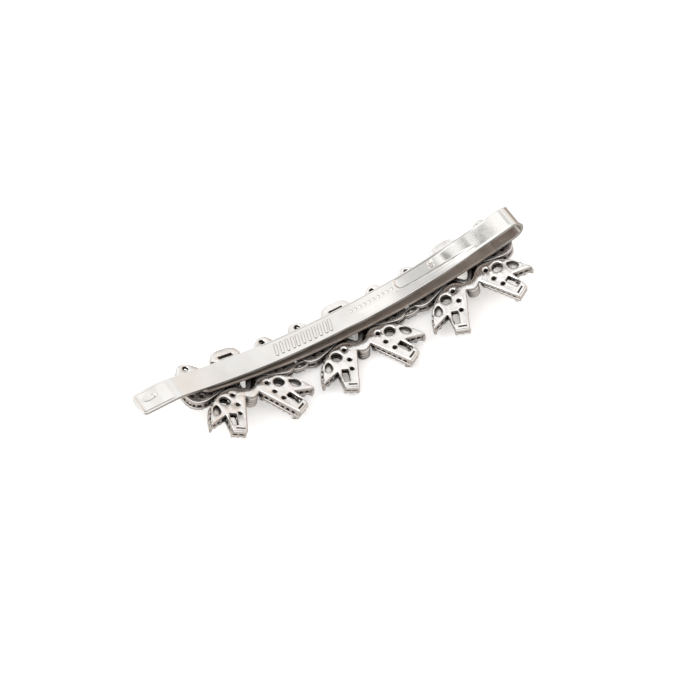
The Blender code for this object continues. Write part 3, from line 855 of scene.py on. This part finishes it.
set_pairs = (
    ("round_stone", swept(cut_to(brilliant, TAIL_ROUND, 2.9, 2.9, -3.0))),
    ("petal_stone", cut_to(brilliant, PETAL_HOLE, 2.0, 2.0, -3.1)),
    ("pear_stone", swept(cut_to(brilliant, TAIL_PEAR, 2.3, 3.3, -2.6, PEAR_TURN, 1.0))),
)
for word, source in set_pairs:
    set_in_bow(mirrored(source), word + "_left", crystal, "crystal", word + "_left")
    set_in_bow(source, word + "_right", crystal, "crystal", word + "_right")
centre_stone = cut_to(brilliant, CENTRE_STONE, 4.6, 6.6, -3.4, 0, 1.0)
set_in_bow(centre_stone, "centre_stone", crystal, "crystal", "centre_stone")

step_cut = gem([(4, 1.30, 2 * TURN_8, 0), (8, 1.22, TURN_8, 0), (8, 1.22, TURN_8, -0.08),
                (8, 1.0, TURN_8, -0.3), (8, 0.75, TURN_8, -0.42), (8, 0.8, TURN_8, 0.4),
                (4, 0.3, 2 * TURN_8, 0.75)])
baguette = swept(cut_to(step_cut, TAIL_SLOT, 1.8, 3.9, -2.3, SLOT_TURN))
set_in_bow(mirrored(baguette), "baguette_left", crystal, "crystal", "baguette_left")
set_in_bow(baguette, "baguette_right", crystal, "crystal", "baguette_right")
knot_baguette = cut_to(step_cut, (0, -0.3), 2.3, 1.5, -3.3)
set_in_bow(knot_baguette, "knot_baguette", crystal, "crystal", "knot_baguette")
top_baguette = cut_to(step_cut, TOP_SLOT, 3.8, 1.5, -3.3)
set_in_bow(top_baguette, "top_baguette", crystal, "crystal", "top_baguette")


# ---------------------------------------------------------------- small pave stones
# Between the large stones every part is set with small round crystals, each pushed into its
# seat and held by the beads around it. Each is given as its place and its width.
tail_pave = [(*spot, 1.8) for spot in TAIL_SMALL] + [(2.7, 1.5, 1.2), (2.6, -0.4, 1.2), (8.2, 0.9, 1.1),
             (6.3, 1.6, 0.9), (5.9, -2.1, 1.0), (10.4, -3.2, 1.1), (6.0, -7.3, 1.3), (7.6, -6.6, 1.1)]
loop_pave = [(*spot, 1.7) for spot in LOOP_SMALL] + [(11.5, 6.0, 1.5), (11.3, 7.9, 1.5), (10.6, 9.6, 1.4),
             (7.4, 9.9, 1.3), (6.0, 8.2, 1.4), (4.6, 6.6, 1.4), (4.3, 4.9, 1.3)]
for word, spots, table in (("tail", tail_pave, -3.05), ("loop", loop_pave, -3.2)):
    stones = joined("pave", [cut_to(small_cut, (x, y), size, size, table) for x, y, size in spots])
    if word == "tail":
        swept(stones)
    set_in_bow(mirrored(stones), word + "_pave_left", crystal, "crystal")
    set_in_bow(stones, word + "_pave_right", crystal, "crystal")


# ---------------------------------------------------------------- links between bows
# A marquise crystal in a small claw setting joins each bow's loop to the next one's. The
# setting is cast and plated like the bows and soldered to both of them.
LINK = (0, 2.7)
link_outline = ring(LINK, 4.0, 1.9)
link_ring = plate(link_outline, [ring(LINK, 2.4, 0.9)], -1.2, -2.2, 0.15)
link_claws = studded(claw, along(link_outline, 1.1, 0.15), -2.4)
link_cast = smoothed([link_ring, *link_claws], "link")
link_stone = cut_to(brilliant, LINK, 3.4, 1.5, -2.9)
for k in range(2):
    between = arch_frame((k - 0.5) * BOW_PITCH)
    for source, word, material, slot_name in ((link_cast, "setting", rhodium, "casting"),
                                              (link_stone, "stone", crystal, "crystal")):
        one = copy_of(source)
        one.name = one.data.name = "link_%d_%s" % (k + 1, word)
        one.data.transform(between)
        one.data.materials.clear()
        one.data.materials.append(material)
        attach(one, "clip_front")
        if word == "setting":
            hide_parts("link_%d" % (k + 1))
for spare in (link_cast, link_stone, brilliant, small_cut, step_cut, post, claw):
    bpy.data.objects.remove(spare)
